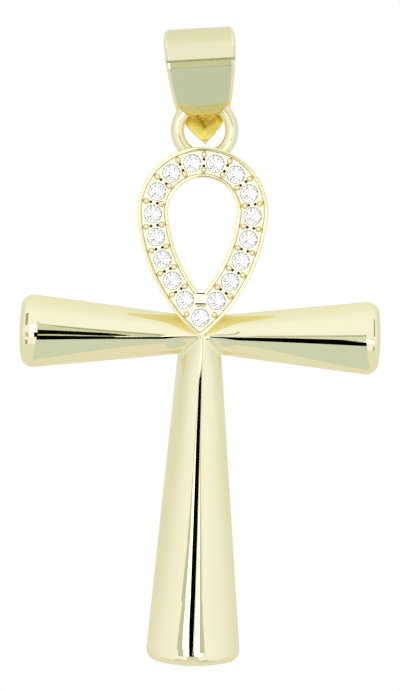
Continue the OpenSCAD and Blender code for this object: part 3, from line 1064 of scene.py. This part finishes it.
# %% Camera
PIXEL = 0.06                      # millimetres to a pixel of the 400 by 691 picture
WIDE, HIGH = 400, 691
CROSS_PX = (200.0, 334.5)         # the crossing in the picture
ROLL = math.radians(1.3)          # the ankh leans clockwise in the picture
CAMERA_AWAY = 1000.0              # millimetres from the pendant
SENSOR = 36.0
camera_data = bpy.data.cameras.new("camera")
camera_data.lens = SENSOR / (HIGH * PIXEL) * CAMERA_AWAY
camera_data.sensor_width = SENSOR
camera_data.clip_start = 0.001
camera_data.clip_end = 10.0
camera = bpy.data.objects.new("camera", camera_data)
bpy.context.scene.collection.objects.link(camera)
right_px, down_px = WIDE / 2 - CROSS_PX[0], HIGH / 2 - CROSS_PX[1]
aim_x = axis_x + PIXEL * (right_px * math.cos(ROLL) + down_px * math.sin(ROLL))
aim_z = cross_z + PIXEL * (-down_px * math.cos(ROLL) + right_px * math.sin(ROLL))
camera.location = (aim_x * MM, -CAMERA_AWAY * MM, aim_z * MM)
camera.rotation_euler = (math.pi / 2, -ROLL, 0)
bpy.context.scene.camera = camera
print(f"camera {CAMERA_AWAY:.0f} mm away, aimed at x {aim_x:.2f}, z {aim_z:.2f}")


# %% [markdown]
# ## The room
# A mirror shows nothing but its surroundings. What this gold mirrors looks like a white tent with
# a camera looking in through a slot: the slot is brighter than the cloth, the camera is black in
# it, and the table below is grey. The room itself isn't known, so each of these is only a flat
# card, which nothing but mirrors and stones can see. The slot shows in the stem's streak, the
# narrow lines and strips in the arms' streaks, and the table below these and in the bail's flat.
# A ridge squeezes what it mirrors into a streak, so the outlines were found by trial, and they
# fit the picture only from its own angle.

# %% Cards
CARD_AWAY = 1000.0     # millimetres from the pendant to the cards beside the camera
CARD_STEP = 4          # millimetres from one layer of cards to the next


def glow(name, colour, strength):
    """A material that shines evenly."""
    material = bpy.data.materials.new(name)
    material.use_nodes = True
    nodes = material.node_tree.nodes
    nodes.clear()
    out = nodes.new("ShaderNodeOutputMaterial")
    shine = nodes.new("ShaderNodeEmission")
    shine.inputs["Color"].default_value = (*colour, 1)
    shine.inputs["Strength"].default_value = strength
    material.node_tree.links.new(shine.outputs["Emission"], out.inputs["Surface"])
    return material


def unseen_directly(piece):
    """Leaves a piece to be seen in mirrors and through stones only."""
    piece.visible_camera = False
    piece.visible_diffuse = False
    piece.visible_shadow = False


def card(name, corners, colour, strength=1.0):
    """A flat card with its corners (x, y, z) in mm about the crossing."""
    piece = new_piece(name, [(axis_x + x, y, cross_z + z) for x, y, z in corners], [range(len(corners))])
    piece.data.materials.append(glow(name + "_glow", colour, strength))
    unseen_directly(piece)


def wall_card(name, outline, step, colour, strength=1.0):
    """A card upright beside the camera; a larger step is nearer to the pendant."""
    card(name, [(x, CARD_STEP * step - CARD_AWAY, z) for x, z in outline], colour, strength)


# %% The slot that the camera looks through, seen in the stem
OLIVE = (0.63, 0.67, 0.63)
WHITE = (1, 1, 1)
BLACK = (0, 0, 0)
LAMP = 2.2             # how much brighter than plain white the light behind the slot is
wall_card("slot_frame", [
    (-250, -3.6), (-345, -6), (-362, -11), (-410, -14), (-470, -15), (-505, -17), (-480, -20),
    (-448, -23), (-440, -195), (330, -195), (312, -38), (286, -37), (243, -35), (208, -31),
    (182, -26), (134, -21), (88, -17), (45, -12), (32, -6), (25, -3.6)], -3, OLIVE)
wall_card("slot_light", [
    (-250, -3.8), (-280, -8), (-310, -10), (-300, -15), (-290, -18), (-312, -20), (-332, -24),
    (-302, -27), (-271, -32), (-265, -190), (290, -190), (290, -80), (170, -78), (168, -39),
    (126, -31), (91, -24), (53, -19), (28, -15), (16, -8), (8, -4)], -2, WHITE, LAMP)
wall_card("white_card", [(-265, 1), (-42, 1), (-42, 290), (-265, 290)], -2, WHITE, LAMP)
wall_card("camera_head", [
    (-235, -3.6), (-250, -7.5), (-236, -11), (-214, -15), (-196, -20), (-176, -25), (-157, -30),
    (-134, -33), (-118, -36), (-112, -200), (-10, -200), (-8, -4.3), (-60, -3.9), (-90, -1),
    (-112, -1), (-125, -3.6)], -1, BLACK)

# %% The tent's posts, seen at the arms' ends
POST = (0.42, 0.44, 0.38)
for name, near, far, low, high in (("post_left_low", -330, -600, -1100, -330),
                                   ("post_left_high", -330, -600, 300, 1100),
                                   ("post_right_low", 258, 500, -1100, -330),
                                   ("post_right_high", 258, 500, 80, 1100)):
    wall_card(name, [(near, low), (far, low), (far, high), (near, high)], -4, POST)

# %% Lines, strips and shadows round the camera, seen in the arms
wall_card("right_line", [
    (5.2, 40), (5.8, 97), (7, 105), (9, 116), (11.3, 124), (16, 133), (20, 142), (26, 148),
    (26, -140), (5.2, -140)], 0, (0.40, 0.44, 0.35))
wall_card("right_strip", [
    (1, 0), (4.4, 39), (7, 55), (9, 66), (11.3, 74), (16, 83), (20, 92), (27, 98), (27, -140),
    (1, -140)], 1, (0.80, 0.86, 0.88))
wall_card("left_line", [
    (-3.6, 80), (-7.3, 235), (-8.8, 305), (-9.4, 330), (-10, 385), (-9, 440), (-8.6, 470),
    (-27, 480), (-27, -136), (-4.5, -136)], 0, (0.42, 0.46, 0.36))
wall_card("left_strip", [
    (-4.8, -7), (-8.5, 127), (-10.6, 204), (-11.4, 216), (-11.8, 281), (-10.7, 340),
    (-10.4, 371), (-28, 380), (-28, -136), (-4, -136)], 1, (0.74, 0.79, 0.72))
wall_card("camera_grip", [
    (-8, -112), (-9.5, 22), (-11, 72), (-13.7, 97), (-16, 109), (-30, 113), (-30, -76),
    (-19, -78), (-16.8, -67), (-14, -89), (-11, -108)], 2, BLACK)
wall_card("table_shadow", [
    (-40, -127), (-15, -128), (-13, -140), (-10.4, -158), (-8.6, -166), (-3, -110), (1, -45),
    (5, -48), (10, -32), (17.5, -66), (19.5, -151), (40, -160), (40, -368), (17, -368),
    (5, -385), (1, -470), (-3, -430), (-6, -350), (-40, -348)], 3, BLACK)

# %% The table below, seen in the arms and the bail
TABLE_Z = -40
card("table_card", [(x, y, TABLE_Z) for x, y in (
    (-15, -125), (-13, -14), (-12, -14), (-6.6, -16.8), (-5.2, -22.2), (-3.7, -30), (-2.7, -39),
    (-1.5, -45), (0, -48), (1.5, -45), (2.3, -40), (2.9, -32), (3.6, -23), (4.3, -15.5),
    (5.1, -11.1), (6.1, -8.8), (7.2, -7.9), (12, -7), (13, -7), (15, -125))], (0.69, 0.785, 0.87))

# %% [markdown]
# The tent is a large sphere round the pendant. Its cloth is bright and a little blue on the
# camera's side, greyer to the sides and behind, and a little brighter at the top. The tone is
# stored on its points, because it changes too smoothly to need a picture.

# %% The tent
TENT_R = 1500
UP_MORE = 0.14         # how much brighter the top of the tent is than its sides
# degrees from the camera's side, and the cloth's red, green and blue there
TENT_TONES = ((0, 1.02, 1.06, 1.20), (20, 1.05, 1.10, 1.33), (35, 1.03, 1.07, 1.28),
              (50, 0.99, 1.03, 1.20), (60, 0.94, 0.97, 1.12), (70, 0.89, 0.92, 1.00),
              (80, 0.865, 0.895, 0.92), (92, 0.84, 0.88, 0.93), (180, 0.84, 0.88, 0.93))


def tent_mesh(rings=60, around=48):
    """A sphere about the pendant with its poles on the camera's axis."""
    points = [(axis_x, -TENT_R, cross_z)]
    for r in range(1, rings):
        turn = math.pi * r / rings
        for k in range(around):
            a = 2 * math.pi * k / around
            points.append((axis_x + TENT_R * math.sin(turn) * math.cos(a), -TENT_R * math.cos(turn),
                           cross_z + TENT_R * math.sin(turn) * math.sin(a)))
    points.append((axis_x, TENT_R, cross_z))
    faces = [(0, 1 + k, 1 + (k + 1) % around) for k in range(around)]
    for r in range(rings - 2):
        for k in range(around):
            a, b = 1 + r * around, 1 + (k + 1) % around + r * around
            faces.append((a + k, a + around + k, b + around, b))
    last = len(points) - 1
    faces += [(last, last - around + (k + 1) % around, last - around + k) for k in range(around)]
    return points, faces


tent = new_piece("tent_cloth", *tent_mesh())
tones = tent.data.color_attributes.new("tone", "FLOAT_COLOR", "POINT")
table = np.array(TENT_TONES)
for vertex, tone in zip(tent.data.vertices, tones.data):
    off_axis = math.degrees(math.acos(max(-1, min(1, -vertex.co.y / MM / TENT_R))))
    up = max(0, (vertex.co.z / MM - cross_z) / TENT_R)
    more = 1 + UP_MORE * up * up
    tone.color = [more * float(np.interp(off_axis, table[:, 0], table[:, c])) for c in (1, 2, 3)] + [1]
cloth = glow("tent_glow", (1, 1, 1), 1.0)
shine = next(n for n in cloth.node_tree.nodes if n.type == "EMISSION")
paint = cloth.node_tree.nodes.new("ShaderNodeVertexColor")
paint.layer_name = "tone"
cloth.node_tree.links.new(paint.outputs["Color"], shine.inputs["Color"])
tent.data.materials.append(cloth)
tent.visible_transmission = False
unseen_directly(tent)

# %% [markdown]
# A stone sparkles because each facet shows another small piece of the room. Through the smooth
# tent it would look like plain glass. So there is a second tent with dark, grey and bright
# patches, which is seen only through the stones.

# %% What the stones sparkle with
PATCHES = 2.2          # patches to a metre
PATCH_TONES = ((0.0, (0.10, 0.10, 0.11, 1)), (0.12, (0.62, 0.63, 0.66, 1)),
               (0.3, (1.25, 1.25, 1.27, 1)))
sparkle = new_piece("sparkle_tent", *tent_mesh(24, 36))
lamp_cloth = glow("sparkle_glow", (1, 1, 1), 1.0)
nodes, links = lamp_cloth.node_tree.nodes, lamp_cloth.node_tree.links
shine = next(n for n in nodes if n.type == "EMISSION")
coords = nodes.new("ShaderNodeTexCoord")
patches = nodes.new("ShaderNodeTexVoronoi")
patches.inputs["Scale"].default_value = PATCHES
links.new(coords.outputs["Object"], patches.inputs["Vector"])
levels = nodes.new("ShaderNodeValToRGB")
levels.color_ramp.interpolation = "CONSTANT"
levels.color_ramp.elements.new(0.3)
for level, (place, tone) in zip(levels.color_ramp.elements, PATCH_TONES):
    level.position = place
    level.color = tone
split = nodes.new("ShaderNodeSeparateColor")
links.new(patches.outputs["Color"], split.inputs["Color"])
links.new(split.outputs["Red"], levels.inputs["Fac"])
links.new(levels.outputs["Color"], shine.inputs["Color"])
sparkle.data.materials.append(lamp_cloth)
sparkle.visible_glossy = False
unseen_directly(sparkle)
print("patch tones from", [round(e.position, 2) for e in levels.color_ramp.elements])

# %% [markdown]
# ## Floor and light
# A pale round floor lies well below the hanging pendant, and the white world gives the soft,
# even studio light.

# %% Floor and light
FLOOR_R = 600
FLOOR_Z = -330
floor = new_piece("floor", [(FLOOR_R * math.cos(a), FLOOR_R * math.sin(a), FLOOR_Z)
                            for a in np.linspace(0, 2 * math.pi, 96, endpoint=False)], [range(96)])
pale, _, _, pale_shader = principled("pale_floor")
pale_shader.inputs["Base Color"].default_value = (0.86, 0.86, 0.85, 1)
pale_shader.inputs["Roughness"].default_value = 0.8
floor.data.materials.append(pale)

world = bpy.data.worlds.new("tent")
bpy.context.scene.world = world
world.use_nodes = True
background = world.node_tree.nodes["Background"]
background.inputs["Color"].default_value = (1, 1, 1, 1)
background.inputs["Strength"].default_value = 1.0

bpy.context.scene.view_settings.view_transform = "Standard"
bpy.context.scene.cycles.use_denoising = True
